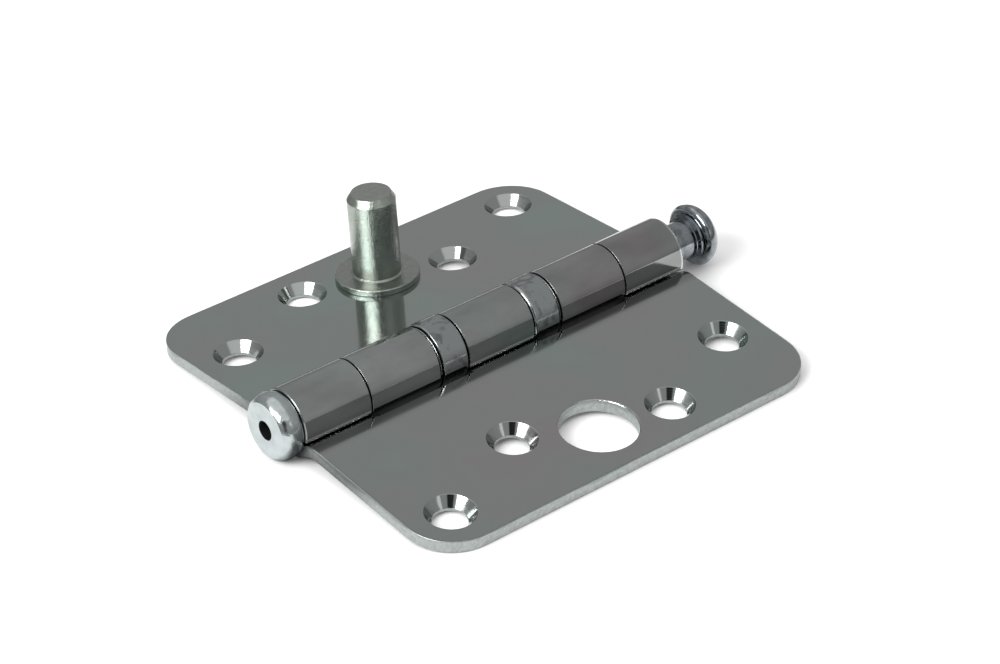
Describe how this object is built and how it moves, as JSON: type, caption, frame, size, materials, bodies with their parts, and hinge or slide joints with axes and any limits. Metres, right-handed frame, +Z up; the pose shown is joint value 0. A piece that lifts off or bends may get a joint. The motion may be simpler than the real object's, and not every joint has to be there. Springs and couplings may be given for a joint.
{
  "type": "ball bearing hinge",
  "caption": "Butt hinge with rolled knuckles, rounded leaf corners, countersunk zigzag holes, ball bearings, a loose pin and a security stud that enters a hole in the other leaf.",
  "frame": {"origin": "on the surface that the open hinge lies on, under the middle of its bounding box", "axes": "+Z up from the surface, +Y along the pin towards its head, +X towards the leaf with three knuckles"},
  "size_m": [0.0996, 0.1178, 0.0244],
  "materials": {
    "bright_zinc": "bright zinc plated, smooth",
    "stud_zinc": "bright zinc plated, slightly warm",
    "pin_zinc": "bright zinc plated, slightly blue",
    "bearing_zinc": "pressed and bright zinc plated",
    "ball_steel": "polished bearing steel"
  },
  "bodies": {
    "frame_leaf": {"leaf_three_knuckle": "bright_zinc", "end_cap": "bright_zinc", "bearing_1_shell": "bearing_zinc", "bearing_1_upper_race": "bearing_zinc", "bearing_2_shell": "bearing_zinc", "bearing_2_upper_race": "bearing_zinc"},
    "door_leaf": {"leaf_two_knuckle": "bright_zinc", "security_stud": "stud_zinc", "bearing_1_lower_race": "bearing_zinc", "bearing_2_lower_race": "bearing_zinc"},
    "pin": {"hinge_pin": "pin_zinc"},
    "balls_1": {"bearing_1_ball_01": "ball_steel", "bearing_1_ball_02": "ball_steel", "bearing_1_ball_03": "ball_steel", "bearing_1_ball_04": "ball_steel", "bearing_1_ball_05": "ball_steel", "bearing_1_ball_06": "ball_steel", "bearing_1_ball_07": "ball_steel", "bearing_1_ball_08": "ball_steel", "bearing_1_ball_09": "ball_steel", "bearing_1_ball_10": "ball_steel", "bearing_1_ball_11": "ball_steel", "bearing_1_ball_12": "ball_steel", "bearing_1_ball_13": "ball_steel", "bearing_1_ball_14": "ball_steel", "bearing_1_ball_15": "ball_steel", "bearing_1_ball_16": "ball_steel", "bearing_1_ball_17": "ball_steel", "bearing_1_ball_18": "ball_steel"},
    "balls_2": {"bearing_2_ball_01": "ball_steel", "bearing_2_ball_02": "ball_steel", "bearing_2_ball_03": "ball_steel", "bearing_2_ball_04": "ball_steel", "bearing_2_ball_05": "ball_steel", "bearing_2_ball_06": "ball_steel", "bearing_2_ball_07": "ball_steel", "bearing_2_ball_08": "ball_steel", "bearing_2_ball_09": "ball_steel", "bearing_2_ball_10": "ball_steel", "bearing_2_ball_11": "ball_steel", "bearing_2_ball_12": "ball_steel", "bearing_2_ball_13": "ball_steel", "bearing_2_ball_14": "ball_steel", "bearing_2_ball_15": "ball_steel", "bearing_2_ball_16": "ball_steel", "bearing_2_ball_17": "ball_steel", "bearing_2_ball_18": "ball_steel"}
  },
  "joints": [
    {"name": "leaf_swing", "type": "hinge", "parent": "frame_leaf", "child": "door_leaf", "pos_m": [0, -0.004, 0.0073], "axis": [0, 1, 0], "range_deg": [-117, 187.93]},
    {"name": "pin_slide", "type": "slide", "parent": "frame_leaf", "child": "pin", "axis": [0, 1, 0], "range_m": [-0.0057, 0.095]},
    {"name": "balls_1_orbit", "type": "hinge", "parent": "frame_leaf", "child": "balls_1", "pos_m": [0, -0.004, 0.0073], "axis": [0, 1, 0], "range_deg": [-58.5, 93.97]},
    {"name": "balls_2_orbit", "type": "hinge", "parent": "frame_leaf", "child": "balls_2", "pos_m": [0, -0.004, 0.0073], "axis": [0, 1, 0], "range_deg": [-58.5, 93.97]}
  ],
  "couplings": [
    {"joint": "balls_1_orbit", "follows": "leaf_swing", "ratio": 0.5},
    {"joint": "balls_2_orbit", "follows": "leaf_swing", "ratio": 0.5}
  ]
}
